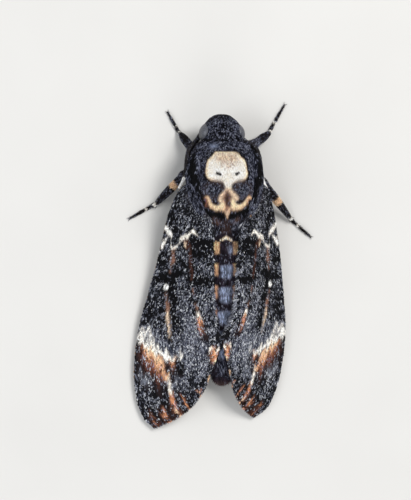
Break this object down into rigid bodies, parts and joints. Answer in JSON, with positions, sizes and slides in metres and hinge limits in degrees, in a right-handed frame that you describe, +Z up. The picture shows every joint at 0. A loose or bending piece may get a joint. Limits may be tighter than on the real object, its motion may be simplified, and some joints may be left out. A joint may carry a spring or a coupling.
{
  "type": "death's head hawkmoth",
  "caption": "Life-size hawkmoth at rest: a stout furry body, blunt head with feelers laid back, and long patterned forewings folded like a roof over short hindwings.",
  "frame": {"origin": "on the floor under the middle of the moth's outline", "axes": "+Y forwards, from the wing tips to the head; +X to the moth's right; +Z up"},
  "size_m": [0.042, 0.0728, 0.0175],
  "materials": {
    "body_fur": "dense black fur with a blue-grey bloom, and a cream and tan skull-like patch on the thorax",
    "abdomen_fur": "short flat fur, blue-grey along the middle, with yellow-orange sides and black rings",
    "forewing_scales": "dull overlapping scales, blue-black dusted with white, with cream bars and rust streaks",
    "hindwing_scales": "dull yellow scales with dark bands",
    "leg_scales": "short flat black scales with orange and cream rings",
    "antenna": "dark grey, finely ringed, with a white tip",
    "eye": "glossy dark brown, finely faceted",
    "horn": "satin dark brown horn"
  },
  "bodies": {
    "root": {"head": "body_fur", "collar": "body_fur", "thorax": "body_fur", "tegula_left": "body_fur", "tegula_right": "body_fur", "palp_left": "body_fur", "palp_right": "body_fur", "abdomen": "abdomen_fur", "eye_left": "eye", "antenna_left": "antenna", "forewing_left": "forewing_scales", "hindwing_left": "hindwing_scales", "eye_right": "eye", "antenna_right": "antenna", "forewing_right": "forewing_scales", "hindwing_right": "hindwing_scales", "proboscis": "horn", "leg_front_left": "leg_scales", "leg_front_right": "leg_scales", "leg_mid_left": "leg_scales", "leg_mid_right": "leg_scales", "leg_hind_left": "leg_scales", "leg_hind_right": "leg_scales"}
  },
  "joints": []
}
